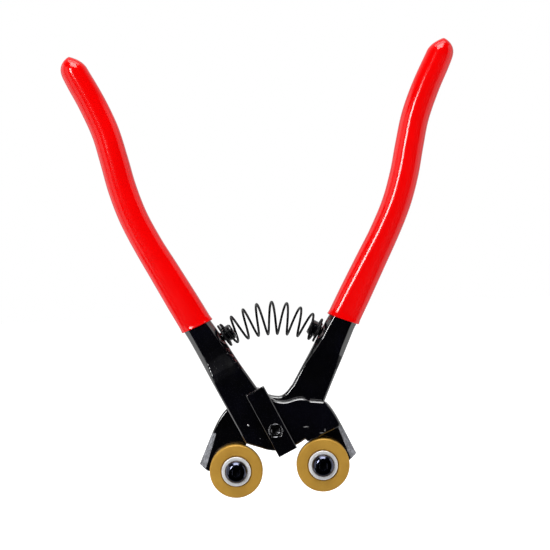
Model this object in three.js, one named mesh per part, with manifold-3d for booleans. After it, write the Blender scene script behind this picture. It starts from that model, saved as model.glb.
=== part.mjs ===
// Wheeled glass nippers: two crossed levers on one pivot, a carbide wheel on each jaw, dipped
// grips and a barrel spring between the arms. Millimetres, +Z up, handles up, jaws down.
// The tool faces -Y. X = Z = 0 is the pivot axis, and Y = 0 is the flat back end of the pivot
// screw. Inside the group every depth is counted from the plane where the two levers meet.
import * as THREE from 'three';
import { mergeVertices } from 'three/addons/utils/BufferGeometryUtils.js';
import Module from 'manifold-3d';

const wasm = await Module();
wasm.setup();

// Driving dimensions.
const SCREW_BACK = 13.4;        // meeting plane to the back end of the pivot screw
const LEVER_GAP = 0.8;          // between the two levers, where the shim sits
const HUB_THICK = 6;            // each lever at the hub and at the jaw
const ARM_THICK = 9.4;          // each arm above the joggle
const ARM = {                   // where its outer edge meets the jaw, degrees from vertical
  left: { corner: [20, 10.3], lean: 26.1 },
  right: { corner: [21.2, 10.8], lean: 24.6 },
};
const ARM_WIDTHS = [[-1, 15.3], [8, 14.3], [15, 13.5], [25, 12.7], [32, 11.9]];   // along, across
const JOGGLE = [8, 25];         // start and end of the joggle, along the arm from its corner
const ARM_CHAMFER = [0.8, 2.1]; // below and above the joggle

const WHEEL_AXIS = { left: [-17.1, -16.3], right: [18.9, -15.5] };
const JAW_SKEW = 1.6;           // degrees that the open jaws sit round from the handles
const WHEEL_RADIUS = 11;
const WHEEL_THICK = 6;
const WHEEL_BORE = 4.1;
const RIM_CHAMFER = 0.45;
const POCKET_RADIUS = 11.6;     // hub cut back round the right wheel
const SEAT_RADIUS = 9.6;        // jaw plate behind a wheel
const SCREW_HOLE = 2.75;        // through a jaw
const HUB_SWEEP = 15;           // kept clear round the pivot for the other lever's hub
const JAW_BEVEL = { top: [1.6, 2.2], tip: [3.4, 4.2] };   // across, depth

const BUSH = { bore: 2.65, sleeve: 4, flange: 6.05, flangeThick: 1 };
const WHEEL_SCREW = { radius: 2.5, head: 4.75, headHeight: 2.75, socket: 3 };
const NUT_M5 = { flats: 8, height: 4, bore: 2.6 };
const SPRING_WASHER = { outer: 4.5, inner: 2.65, thick: 1.2, split: 0.8 };

const PIVOT_SCREW = { radius: 2.9, front: 9.9, socket: 3, socketDepth: 2.6 };
const PIVOT_BORE = 3.05;
const PIVOT_BAR = { length: 29, width: 8.4, thick: 2.9, shift: 4.1, aside: 0.25, tilt: 25.6 };
const PIVOT_SHIM = { outer: 7, thick: 0.5 };
const PIVOT_WASHER = { outer: 6.25, inner: 3.15, thick: 1.1 };
const NUT_M6 = { flats: 10, height: 4.6, bore: 3.0 };

const STUD = { radius: 3.5, tip: 2.6, length: 5.4, tenon: 2, tenonLength: 4.5, axisTilt: 30 };
const STUD_FOOT = { left: [20.15, 39.3], right: [20.75, 39.5] };  // its axis at the arm's edge
const SPRING = { wire: 0.46, endRadius: 4.75, midRadius: 6.7, crown: 46.2, start: 0.85 };
const SPRING_TURNS = { dead: 1, active: 7.75, deadPitch: 1.05 };

const GRIP_DEPTH = 11.2;
const MOUTH_TILT = THREE.MathUtils.degToRad(6.5);   // a grip's lower end, from square
const GRIP_END_LENGTH = 6;      // stretch over which a grip's tip rounds off
const TANG_STOP = 9;            // a tang ends this far short of the grip's tip
const HUB_DROP = -10.9;         // an arm's outer edge runs on this far down over the hub
const CLEAR = 0.3;

// Half outlines, right side, x then z.
const GRIP_LINE = [[30.3, 44.2], [36.3, 55.3], [42.8, 67.3], [49.3, 79.3], [54.9, 91.3],
  [58.8, 103.2], [61.6, 115.2], [64.7, 127.2], [69.6, 139.2], [75.4, 150.8], [79.0, 158.8]];
const GRIP_WIDTHS = [13.5, 13.3, 12.8, 12.2, 12.0, 12.0, 11.9, 11.7, 11.6, 11.3, 10.6];
const JAW_ARC = {               // round to the bevel
  left: [[19.9, 9.6], [22.2, 7.2], [24.5, 3.9], [26.5, 0.3]],
  right: [[21.1, 10.2], [23.2, 7.9], [25.3, 4.4], [27.2, 0.3]],
};
const JAW_TIP = {               // outer, inner
  left: [[32.9, -12.6], [29.8, -15.4]],
  right: [[33, -13.2], [29.6, -15.7]],
};
const HUB_NOSE = [[-12.8, -4.9], [-10.9, -5.6], [-6.8, -7], [-3, -8.3], [2, -8.6], [8.5, -6.5],
  [12.2, -4.4]];
const FRONT_HUB_TOP = [[15, 11.5], [11.7, 12.7], [8.7, 12.5], [5.2, 11.6], [2.3, 11.8],
  [-0.8, 12.9], [-3.4, 14.9], [-6, 17.8]];
const REAR_HUB_TOP = [[-3.5, 14.9], [-1.6, 14.1], [1.1, 13.5], [3.2, 13.6], [5.4, 15.1],
  [7.5, 17.6]];
const HUB_STEP = [[16.8, -5.2], [18.9, -3.3], [21.2, -2.3], [23.8, -1.2], [26, -0.2]];

// Metals and plastics.
const enamel = (name) => new THREE.MeshStandardMaterial({ name, color: 0x0b0b0e,
  roughness: 0.25, metalness: 0.3 });
const zinc = (name) => new THREE.MeshStandardMaterial({ name, color: 0xc8cacc, roughness: 0.3,
  metalness: 0.9 });
const blued = (name) => new THREE.MeshStandardMaterial({ name, color: 0x12141c,
  roughness: 0.25, metalness: 0.7 });
const vinyl = (name) => new THREE.MeshStandardMaterial({ name, color: 0xe60505,
  roughness: 0.22, metalness: 0 });
const carbide = (name) => new THREE.MeshStandardMaterial({ name, color: 0xb2883e,
  roughness: 0.45, metalness: 0.6 });

// A closed mesh as a solid, and back.
function solid(geometry) {
  const bare = geometry.clone();
  bare.deleteAttribute('normal');
  bare.deleteAttribute('uv');
  const merged = mergeVertices(bare, 1e-4);
  return new wasm.Manifold(new wasm.Mesh({
    numProp: 3,
    vertProperties: new Float32Array(merged.attributes.position.array),
    triVerts: new Uint32Array(merged.index.array),
  }));
}

function surface(manifold) {
  const mesh = manifold.getMesh();
  const geometry = new THREE.BufferGeometry();
  geometry.setAttribute('position', new THREE.BufferAttribute(mesh.vertProperties, 3));
  geometry.setIndex(new THREE.BufferAttribute(mesh.triVerts, 1));
  geometry.computeVertexNormals();
  return geometry;
}

const join = (first, ...rest) => rest.reduce((whole, next) => whole.add(next), first);
const cut = (first, ...rest) => rest.reduce((whole, next) => whole.subtract(next), first);

// An outline in the tool's plane as a plate from depth front to depth back.
function plate(outline, front, back, chamfer = 0) {
  const shape = outline instanceof THREE.Shape ? outline
    : new THREE.Shape(outline.map(([x, z]) => new THREE.Vector2(x, z)));
  const geometry = new THREE.ExtrudeGeometry(shape, {
    depth: back - front - 2 * chamfer,
    bevelEnabled: chamfer > 0,
    bevelThickness: chamfer,
    bevelSize: chamfer,
    bevelOffset: -chamfer,
    bevelSegments: 1,
    curveSegments: 10,
  });
  return geometry.rotateX(Math.PI / 2).translate(0, back - chamfer, 0);
}

// A round or polygonal prism along Y.
function rod(radius, front, back, [x, z] = [0, 0], sides = 24) {
  return new THREE.CylinderGeometry(radius, radius, back - front, sides)
    .translate(x, (front + back) / 2, z);
}

const hexPrism = (flats, front, back, centre) => rod(flats / Math.sqrt(3), front, back, centre, 6);

// A closed profile of (radius, depth) points turned about the Y axis, faces outwards.
function turned(profile, [x, z] = [0, 0], sides = 24) {
  const points = profile.map(([r, y]) => new THREE.Vector2(r, y));
  if (THREE.ShapeUtils.area(points) < 0) points.reverse();
  points.push(points[0].clone());
  return new THREE.LatheGeometry(points, sides).translate(x, 0, z);
}

const ring = (inner, outer, front, back, chamfer, centre, sides) => turned([
  [inner, front], [inner, back], [outer - chamfer, back], [outer, back - chamfer],
  [outer, front + chamfer], [outer - chamfer, front]], centre, sides);

// A skin over a row of closed loops, capped at both ends, with its faces outwards.
function loft(loops) {
  const count = loops[0].length;
  const positions = loops.flat().flatMap((p) => [p.x, p.y, p.z]);
  const faces = [];
  for (let row = 0; row + 1 < loops.length; row++) {
    for (let i = 0; i < count; i++) {
      const a = row * count + i;
      const b = row * count + (i + 1) % count;
      faces.push([a, b, b + count], [a, b + count, a + count]);
    }
  }
  const last = (loops.length - 1) * count;
  for (let i = 1; i + 1 < count; i++) {
    faces.push([0, i + 1, i], [last, last + i, last + i + 1]);
  }
  const corner = (i) => new THREE.Vector3().fromArray(positions, 3 * i);
  const volume = faces.reduce((sum, [a, b, c]) =>
    sum + corner(a).dot(corner(b).cross(corner(c))), 0);
  const outward = volume > 0 ? faces : faces.map(([a, b, c]) => [a, c, b]);
  const geometry = new THREE.BufferGeometry();
  geometry.setAttribute('position', new THREE.Float32BufferAttribute(positions, 3));
  geometry.setIndex(outward.flat());
  geometry.computeVertexNormals();
  return geometry;
}

// Places worked out from the driving dimensions.
const side = { left: -1, right: 1 };
const mirrored = (points, s) => points.map(([x, z]) => [s * x, z]);
const of = (sides, s) => (s < 0 ? sides.left : sides.right);
const wheelAxis = (s) => of(WHEEL_AXIS, s);

// The way up an arm.
function upArm(s) {
  const lean = THREE.MathUtils.degToRad(of(ARM, s).lean);
  return new THREE.Vector2(Math.sin(lean), Math.cos(lean));
}

function turnedBy(points, degrees) {
  const centre = new THREE.Vector2();
  return points.map(([x, z]) => new THREE.Vector2(x, z)
    .rotateAround(centre, THREE.MathUtils.degToRad(degrees)).toArray());
}

// A smooth run through a few points.
const smooth = (points, steps = 4) => new THREE.SplineCurve(
  points.map(([x, z]) => new THREE.Vector2(x, z))).getPoints(steps * (points.length - 1))
  .map((p) => p.toArray());

// A point of an arm as on the right, from its distance along and across from the corner.
function armPoint(s, along, across) {
  const [x, z] = of(ARM, s).corner;
  const up = upArm(s);
  return [x + along * up.x - across * up.y, z + along * up.y + across * up.x];
}

function armWidth(along) {
  const next = Math.max(1, ARM_WIDTHS.findIndex(([place]) => place >= along));
  const [[a, wide], [b, narrow]] = ARM_WIDTHS.slice(next - 1, next + 1);
  return THREE.MathUtils.mapLinear(along, a, b, wide, narrow);
}

const gripCurve = new THREE.SplineCurve(GRIP_LINE.map(([x, z]) => new THREE.Vector2(x, z)));

// Width of a grip at a share of its length.
function gripWidth(share) {
  const place = share * (GRIP_WIDTHS.length - 1);
  const i = Math.min(Math.floor(place), GRIP_WIDTHS.length - 2);
  return THREE.MathUtils.lerp(GRIP_WIDTHS[i], GRIP_WIDTHS[i + 1], place - i);
}

// One cross-section: a place in the plane, the way along it, and section points (across, depth).
function section(centre, along, s, points) {
  return points.map(([across, depth]) => new THREE.Vector3(
    s * (centre.x - along.y * across), depth, centre.y + along.x * across));
}

const chamferedBox = (width, front, back, c) => {
  const w = width / 2;
  return [[-w + c, front], [w - c, front], [w, front + c], [w, back - c], [w - c, back],
    [-w + c, back], [-w, back - c], [-w, front + c]];
};

const softBox = (width, depth, sides = 16, power = 0.62) => Array.from({ length: sides }, (_, i) => {
  const angle = (i + 0.5) * 2 * Math.PI / sides;
  const bulge = (v) => Math.sign(v) * Math.abs(v) ** power;
  return [width / 2 * bulge(Math.cos(angle)), depth / 2 * bulge(Math.sin(angle))];
});

// Arm and tang of one lever. level is -1 for the lever in front and 1 for the one behind.
// grow makes the same shape larger all round, for the hollow of its grip.
function armAndTang(s, level, grow = 0) {
  const near = LEVER_GAP / 2;
  const far = near + HUB_THICK;
  const low = level < 0 ? [-far, -near] : [near, far];
  const high = [-ARM_THICK / 2, ARM_THICK / 2];
  const loops = [-1, 4, 8, 11, 14, 17, 20, 23, 27, 32].map((along) => {
    const width = armWidth(along);
    const rise = THREE.MathUtils.smootherstep(along, ...JOGGLE);
    const centre = new THREE.Vector2(...armPoint(s, along, width / 2));
    const front = THREE.MathUtils.lerp(low[0], high[0], rise) - grow;
    const back = THREE.MathUtils.lerp(low[1], high[1], rise) + grow;
    const chamfer = THREE.MathUtils.lerp(...ARM_CHAMFER, rise);
    return section(centre, upArm(s), s, chamferedBox(width + 2 * grow, front, back, chamfer));
  });
  const stop = 1 - TANG_STOP / gripCurve.getLength();
  for (let i = 0; i <= 10; i++) {
    const share = stop * i / 10;
    const at = gripCurve.getPointAt(share);
    const along = gripCurve.getTangentAt(share);
    const width = gripWidth(share) - 1.8 * (1 + share) + 2 * grow;
    const thick = ARM_THICK / 2 - 0.9 * share + grow;
    loops.push(section(at, along, s, chamferedBox(width, -thick, thick, 2.2)));
  }
  return loft(loops);
}

function grip(s, level) {
  const loops = [];
  const total = gripCurve.getLength();
  const straight = 1 - GRIP_END_LENGTH / total;
  for (let i = 0; i <= 16; i++) {
    const share = straight * i / 16;
    const along = gripCurve.getTangentAt(share);
    if (i === 0) along.rotateAround(new THREE.Vector2(), MOUTH_TILT);
    loops.push(section(gripCurve.getPointAt(share), along, s,
      softBox(gripWidth(share), GRIP_DEPTH)));
  }
  for (let i = 1; i <= 5; i++) {
    const turn = i / 5 * 1.45;
    const share = straight + (1 - straight) * Math.sin(turn);
    const shrink = Math.cos(turn);
    loops.push(section(gripCurve.getPointAt(share), gripCurve.getTangentAt(share), s,
      softBox(gripWidth(share) * shrink, GRIP_DEPTH * shrink)));
  }
  return cut(solid(loft(loops)), solid(armAndTang(s, level, CLEAR)));
}

// Jaw outline of one side, down to the inner tip and back behind the wheel.
function jawPlate(s, front, back) {
  const outline = [[12.5, 2], ...smooth(of(JAW_ARC, s), 3), ...of(JAW_TIP, s), [22, -17.5],
    [16.5, -14], [12.5, -5.4]];
  const body = solid(plate(turnedBy(mirrored(outline, s), JAW_SKEW), front, back, 0.5));
  const seat = solid(rod(SEAT_RADIUS, front, back, wheelAxis(s), 40));
  return join(body, seat);
}

// The wide bevel on a jaw's outer front edge, as the wedge that it takes off.
function jawBevel(s, front) {
  const [top, tip] = [of(JAW_ARC, s).at(-1), of(JAW_TIP, s)[0]];
  const edge = new THREE.Vector2(tip[0] - top[0], tip[1] - top[1]).normalize();
  const out = new THREE.Vector2(-edge.y, edge.x);
  const start = new THREE.Vector2(...top).addScaledVector(edge, -0.5);
  const end = new THREE.Vector2(...tip).addScaledVector(edge, 4);
  const profile = (at, width, depth) => [[-width, -1], [-width, 0], [0.4, depth], [3, depth],
    [3, -1]].map(([across, y]) => {
    const p = at.clone().addScaledVector(out, across);
    const [x, z] = turnedBy([[s * p.x, p.y]], JAW_SKEW)[0];
    return new THREE.Vector3(x, front + y, z);
  });
  return solid(loft([profile(start, ...JAW_BEVEL.top), profile(end, ...JAW_BEVEL.tip)]));
}

// Blind hole for a stud's tenon, and the stud itself, both along the stud's axis.
function alongStud(geometry, s) {
  const tilt = THREE.MathUtils.degToRad(STUD.axisTilt);
  const axis = new THREE.Vector3(-s * Math.cos(tilt), 0, Math.sin(tilt));
  const turn = new THREE.Quaternion().setFromUnitVectors(new THREE.Vector3(0, 1, 0), axis);
  const [x, z] = of(STUD_FOOT, s);
  return geometry.applyQuaternion(turn).translate(s * x, 0, z);
}

const studHole = (s) => solid(alongStud(
  new THREE.CylinderGeometry(STUD.tenon + 0.2, STUD.tenon + 0.2, STUD.tenonLength + 2.4, 20)
    .translate(0, (2.4 - STUD.tenonLength) / 2 - 0.3, 0), s));

function stud(s) {
  const start = 0.5;   // clear of the arm's face over the whole foot
  const points = [[0, -STUD.tenonLength], [STUD.tenon, -STUD.tenonLength], [STUD.tenon, start],
    [STUD.radius, start], [STUD.radius, STUD.length - 0.8], [STUD.tip, STUD.length],
    [0, STUD.length]];
  return alongStud(new THREE.LatheGeometry(points.map((p) => new THREE.Vector2(...p)), 28), s);
}

// Outer edge of an arm down over the hub.
const armBase = (s) => [[5, 4], [2, 0.6], [0, 0], [HUB_DROP, 0]].map((p) => armPoint(s, ...p));

// Lever in front: left arm, hub, then back to the right jaw.
function frontLever() {
  const near = LEVER_GAP / 2;
  const far = near + HUB_THICK;
  const armRoot = mirrored(armBase(side.left), side.left);
  const jawTop = turnedBy(smooth(JAW_ARC.right, 3).reverse(), JAW_SKEW);
  const step = smooth(HUB_STEP);
  const hubFace = [...armRoot, ...smooth(HUB_NOSE), [13.7, -6.5], ...step, ...jawTop,
    ...smooth(FRONT_HUB_TOP, 3)];
  const hub = solid(plate(hubFace, -far, -near, ARM_CHAMFER[0]));
  const linkFace = [[13.2, -6.6], ...step.map(([x, z]) => [x - 0.8, z]), [20.5, 9], [13.2, 2]];
  const link = solid(plate(linkFace, -far + 1.2, far - 0.6));
  const jaw = jawPlate(side.right, near, far);
  // room for the lever behind, which turns inside this one's jaw
  const swept = solid(rod(HUB_SWEEP, -near, far + 1, [0, 0], 48));
  const edge = [armPoint(side.right, -14, -0.6), armPoint(side.right, 12, -0.6), [5, 24], [5, -4]];
  const sweptArm = solid(plate(edge, -near, far + 1));
  const pocket = solid(rod(POCKET_RADIUS, -far - 1, near - 0.05, wheelAxis(side.right), 48));
  const behind = cut(join(link, jaw), swept, sweptArm, jawBevel(side.right, near));
  const boltHole = solid(rod(PIVOT_BORE, -far - 1, far + 1));
  const screwHole = solid(rod(SCREW_HOLE, -far - 1, far + 1, wheelAxis(side.right)));
  const arm = solid(armAndTang(side.left, -1));
  return cut(join(hub, behind, arm), pocket, boltHole, screwHole, studHole(side.left));
}

// Lever behind: right arm, hub and left jaw, all flat behind the meeting plane.
function rearLever() {
  const near = LEVER_GAP / 2;
  const far = near + HUB_THICK;
  const jawTop = turnedBy(mirrored(smooth(JAW_ARC.left, 3), side.left), JAW_SKEW);
  const hubFace = [...armBase(side.right), ...mirrored(smooth(HUB_NOSE), side.left), [-19, -5],
    ...jawTop.reverse(), [-14, 11.6], [-8, 12.6], ...smooth(REAR_HUB_TOP, 3)];
  const hub = solid(plate(hubFace, near, far, ARM_CHAMFER[0]));
  const jaw = cut(jawPlate(side.left, near, far), jawBevel(side.left, near));
  const arm = solid(armAndTang(side.right, 1));
  const boltHole = solid(rod(PIVOT_BORE, -1, far + 1));
  const screwHole = solid(rod(SCREW_HOLE, -1, far + 1, wheelAxis(side.left)));
  return cut(join(hub, jaw, arm), boltHole, screwHole, studHole(side.right));
}

// Depths, from the meeting plane.
const hubFront = -LEVER_GAP / 2 - HUB_THICK;
const hubBack = -hubFront;
const wheelFront = -0.1 - WHEEL_THICK;
const flangeFront = wheelFront - 0.1 - BUSH.flangeThick;

function pivotBar() {
  const { length, width, thick, shift, aside, tilt } = PIVOT_BAR;
  const back = hubFront - 0.1;
  const corners = [[-1, -1], [1, -1], [1, 1], [-1, 1]].map(([across, up]) => [
    aside + across * width / 2, shift + up * length / 2]);
  const outline = turnedBy(corners, tilt);
  return cut(solid(plate(outline, back - thick, back, 0.4)),
    solid(rod(PIVOT_BORE, back - thick - 1, back + 1)));
}

function socketed(body, flats, mouth, depth, centre) {
  return cut(solid(body), solid(hexPrism(flats, mouth - 1, mouth + depth, centre)));
}

function pivotScrew() {
  const { radius, front, socket, socketDepth } = PIVOT_SCREW;
  const body = turned([[0, -front], [radius - 0.4, -front], [radius, -front + 0.4],
    [radius, SCREW_BACK - 0.5], [radius - 0.5, SCREW_BACK], [0, SCREW_BACK]]);
  return socketed(body, socket, -front, socketDepth);
}

function hexNut({ flats, height, bore }, front, centre) {
  const corner = flats / Math.sqrt(3);
  const rounding = turned([[0, front], [corner - 0.35, front], [corner + 0.05, front + 0.5],
    [corner + 0.05, front + height - 0.5], [corner - 0.35, front + height],
    [0, front + height]], centre);
  return cut(solid(hexPrism(flats, front, front + height, centre)).intersect(solid(rounding)),
    solid(rod(bore, front - 1, front + height + 1, centre)));
}

function wheel(centre) {
  return ring(WHEEL_BORE, WHEEL_RADIUS, wheelFront, wheelFront + WHEEL_THICK, RIM_CHAMFER,
    centre, 48);
}

function wheelBush(centre) {
  const { bore, sleeve, flange, flangeThick } = BUSH;
  const step = flangeFront + flangeThick;
  return turned([[bore, flangeFront], [bore, 0.3], [sleeve, 0.3], [sleeve, step],
    [flange, step], [flange, flangeFront + 0.3], [flange - 0.3, flangeFront]], centre, 28);
}

function wheelScrew(centre) {
  const { radius, head, headHeight, socket } = WHEEL_SCREW;
  const seat = flangeFront - 0.1;
  const dome = [];
  for (let i = 0; i <= 4; i++) {
    const turn = i / 4 * 1.15;
    dome.push([head * Math.cos(turn * 0.82), seat - 0.35 - (headHeight - 0.35) * Math.sin(turn)
      / Math.sin(1.15)]);
  }
  const body = turned([[0, hubBack + 6.1], [radius - 0.4, hubBack + 6.1],
    [radius, hubBack + 5.7], [radius, seat], [head, seat], ...dome,
    [0, dome.at(-1)[1]]], centre);
  return socketed(body, socket, dome.at(-1)[1], 1.7, centre);
}

function lockWasher(centre) {
  const { outer, inner, thick, split } = SPRING_WASHER;
  const front = hubBack + 0.1;
  const gap = new THREE.BoxGeometry(split, thick + 1, outer)
    .translate(centre[0], front + thick / 2, centre[1] + outer / 2);
  return cut(solid(ring(inner, outer, front, front + thick, 0.2, centre)), solid(gap));
}

// Centre line of the spring: straight off each stud, bowed up between them.
class CoilLine extends THREE.Curve {
  constructor() {
    super();
    const peak = (8 * SPRING.crown - STUD_FOOT.left[1] - STUD_FOOT.right[1]) / 6;
    const slope = Math.tan(THREE.MathUtils.degToRad(STUD.axisTilt));
    const [left, right] = [side.left, side.right].map((s) => {
      const [x, z] = of(STUD_FOOT, s);
      return [new THREE.Vector2(s * x, z), new THREE.Vector2(s * (x - (peak - z) / slope), peak)];
    });
    this.bow = new THREE.CubicBezierCurve(...left, ...right.reverse());
    this.turns = 2 * SPRING_TURNS.dead + SPRING_TURNS.active;
  }

  getPoint(share, target = new THREE.Vector3()) {
    const turn = share * this.turns;
    const { dead, active, deadPitch } = SPRING_TURNS;
    const length = this.bow.getLength();
    const start = SPRING.start / length;
    const packed = start + dead * deadPitch / length;
    const fromEnd = Math.min(turn, this.turns - turn);
    const live = THREE.MathUtils.clamp((turn - dead) / active, 0, 1);
    let place = THREE.MathUtils.lerp(packed, 1 - packed, live);
    if (fromEnd < dead) {
      const near = start + fromEnd * deadPitch / length;
      place = turn < dead ? near : 1 - near;
    }
    const radius = THREE.MathUtils.lerp(SPRING.endRadius, SPRING.midRadius,
      Math.sin(Math.PI * live));
    const at = this.bow.getPointAt(place);
    const along = this.bow.getTangentAt(place);
    const phase = 2 * Math.PI * turn;
    const up = radius * Math.cos(phase);
    return target.set(at.x - along.y * up, -radius * Math.sin(phase), at.y + along.x * up);
  }
}

function returnSpring() {
  const line = new CoilLine();
  const wire = new THREE.Shape().absarc(0, 0, SPRING.wire, 0, 2 * Math.PI);
  return new THREE.ExtrudeGeometry(wire, { steps: Math.round(line.turns * 11),
    curveSegments: 3, bevelEnabled: false, extrudePath: line });
}

// Assembly.
const tool = new THREE.Group();
tool.position.y = -SCREW_BACK;

function add(name, shape, material) {
  const geometry = shape instanceof THREE.BufferGeometry ? shape : surface(shape);
  const mesh = new THREE.Mesh(geometry, material);
  mesh.name = name;
  tool.add(mesh);
}

add('front_lever', frontLever(), enamel('front_lever'));
add('rear_lever', rearLever(), enamel('rear_lever'));
add('left_grip', grip(side.left, -1), vinyl('left_grip'));
add('right_grip', grip(side.right, 1), vinyl('right_grip'));
add('pivot_bar', pivotBar(), enamel('pivot_bar'));
add('pivot_screw', pivotScrew(), blued('pivot_screw'));
add('pivot_shim', ring(PIVOT_BORE + 0.1, PIVOT_SHIM.outer, -PIVOT_SHIM.thick / 2,
  PIVOT_SHIM.thick / 2, 0.1), zinc('pivot_shim'));
const washerFront = hubBack + 0.1;
add('pivot_washer', ring(PIVOT_WASHER.inner, PIVOT_WASHER.outer, washerFront,
  washerFront + PIVOT_WASHER.thick, 0.2), zinc('pivot_washer'));
add('pivot_nut', hexNut(NUT_M6, washerFront + PIVOT_WASHER.thick + 0.1, [0, 0]),
  blued('pivot_nut'));
add('return_spring', returnSpring(), blued('return_spring'));

for (const [name, s] of Object.entries(side)) {
  const centre = wheelAxis(s);
  add(`${name}_spring_stud`, stud(s), enamel(`${name}_spring_stud`));
  add(`${name}_wheel`, wheel(centre), carbide(`${name}_wheel`));
  add(`${name}_wheel_bush`, wheelBush(centre), zinc(`${name}_wheel_bush`));
  add(`${name}_wheel_screw`, wheelScrew(centre), blued(`${name}_wheel_screw`));
  add(`${name}_lock_washer`, lockWasher(centre), zinc(`${name}_lock_washer`));
  add(`${name}_wheel_nut`, hexNut(NUT_M5, hubBack + 0.2 + SPRING_WASHER.thick, centre),
    blued(`${name}_wheel_nut`));
}

export default tool;
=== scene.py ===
"""Wheeled glass nippers: the looks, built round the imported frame. Metres, front towards -Y."""
import math

import bmesh
import bpy
import numpy as np
from mathutils import Matrix, Vector, noise


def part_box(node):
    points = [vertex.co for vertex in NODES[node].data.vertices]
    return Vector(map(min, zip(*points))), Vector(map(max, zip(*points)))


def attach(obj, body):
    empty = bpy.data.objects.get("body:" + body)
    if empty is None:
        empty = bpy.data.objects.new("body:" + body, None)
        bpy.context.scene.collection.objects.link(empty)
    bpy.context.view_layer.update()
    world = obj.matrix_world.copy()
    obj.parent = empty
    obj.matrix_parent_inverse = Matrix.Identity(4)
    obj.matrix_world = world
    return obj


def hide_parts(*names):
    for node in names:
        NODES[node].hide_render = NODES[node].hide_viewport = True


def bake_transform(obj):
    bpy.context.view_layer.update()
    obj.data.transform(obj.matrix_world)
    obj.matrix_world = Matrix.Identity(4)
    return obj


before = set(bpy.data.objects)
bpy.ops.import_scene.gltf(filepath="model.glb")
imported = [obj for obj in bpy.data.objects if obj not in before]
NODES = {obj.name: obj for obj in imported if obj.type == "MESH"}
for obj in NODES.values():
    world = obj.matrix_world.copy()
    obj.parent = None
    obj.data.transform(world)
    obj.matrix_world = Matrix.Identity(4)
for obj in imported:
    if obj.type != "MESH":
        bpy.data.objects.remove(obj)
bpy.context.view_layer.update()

MM = 0.001
SCENE = bpy.context.scene

# ---------------------------------------------------------------- sizes repeated from the design
SCREW_BACK = 13.4 * MM                       # back end of the pivot screw to the meeting plane
CLOSING = math.radians(39)                   # range of the handles' joint
STUD_FOOT = {-1: (20.15 * MM, 39.3 * MM), 1: (20.75 * MM, 39.5 * MM)}
STUD_TILT = math.radians(30)
STUD = {"radius": 3.5 * MM, "tip": 2.6 * MM, "length": 5.4 * MM, "start": 0.5 * MM,
        "tenon": 2.0 * MM, "tenon_length": 4.5 * MM}
SPRING = {"wire": 0.46 * MM, "end": 4.75 * MM, "middle": 6.7 * MM, "crown": 46.2 * MM,
          "dead": 1.0, "active": 7.75, "dead_pitch": 1.05 * MM, "start": 0.85 * MM}
# the grips, in millimetres: centre line as x and z, widths at even steps along it, and depth
GRIP_LINE = [(30.3, 44.2), (36.3, 55.3), (42.8, 67.3), (49.3, 79.3), (54.9, 91.3), (58.8, 103.2),
             (61.6, 115.2), (64.7, 127.2), (69.6, 139.2), (75.4, 150.8), (79.0, 158.8)]
GRIP_WIDTHS = [13.5, 13.3, 12.8, 12.2, 12.0, 12.0, 11.9, 11.7, 11.6, 11.3, 10.6]
GRIP_DEPTH = 11.2
GRIP_ROUND_OFF = 8.0 * MM
MOUTH_TILT = math.radians(6.5)
MOUTH_REACH = 8.0 * MM                       # the tilt of a grip's end fades out over this
WHEEL_BORE = 4.1 * MM
BUSH = {"sleeve": 4.0 * MM, "bore": 2.65 * MM, "flange": 1.0 * MM}
M5 = {"radius": 2.5 * MM, "bore": 2.6 * MM, "flats": 8.0 * MM, "pitch": 0.8 * MM,
      "depth": 0.32 * MM, "threaded": 7.2 * MM, "socket": 3.0 * MM}
M6 = {"bore": 3.0 * MM, "flats": 10.0 * MM, "pitch": 1.0 * MM, "depth": 0.4 * MM,
      "threaded": 7.0 * MM, "socket": 3.0 * MM}
LOCK_WASHER_BORE = 2.65 * MM
PIVOT_WASHER_BORE = 3.15 * MM

# ---------------------------------------------------------------- choices for the looks
LEVER_FORGING = {"voxel": 0.28 * MM, "rounds": 4, "share": 0.3}   # remesh, smoothing, triangles kept
BAR_FORGING = {"voxel": 0.2 * MM, "rounds": 3, "share": 0.35}
UNEVEN = {"scale": 130, "height": 0.045 * MM}
# raised or sunk spots on the front hub: x, z, radius, rise, in mm
HUB_SPOTS = ((-11.0, 2.4, 0.55, 0.34), (12.6, 0.7, 1.3, -0.3))
# painted highlights on the front hub, light-grey glint spots: x, z, half width, half height, in mm
PAINTED_GLINTS = ((12.6, 0.7, 1.7, 0.4), (-11.0, 2.4, 0.45, 0.45), (-6.5, -3.2, 0.4, 0.3),
          (19.0, -2.1, 1.5, 0.35), (20.4, -1.0, 0.4, 1.0))
BEVEL_START = {"beside": 7.5 * MM, "below": -0.6 * MM}   # from the wheel's axis, from the pivot
# a grip's section is a superellipse: its power at the tip, what the mouth adds, how far that lasts
SECTION = {"tip": 2.05, "mouth": 0.8, "fade": 0.22}
LIP = {"rise": 0.3 * MM, "reach": 1.0 * MM}    # thicker rim round a grip's open end
GROOVE = {"inner": 5.9 * MM, "outer": 6.5 * MM, "depth": 0.7 * MM}   # round a wheel's face
WIRE_EXTRA = 0.05 * MM                         # drawn thicker than the design's wire, in radius
WIRE_STEPS, WIRE_SIDES = 40, 12                # rings of the wire in a turn, points in a ring
CURVE_POINTS = 600                             # samples along the spring's centre line


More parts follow.
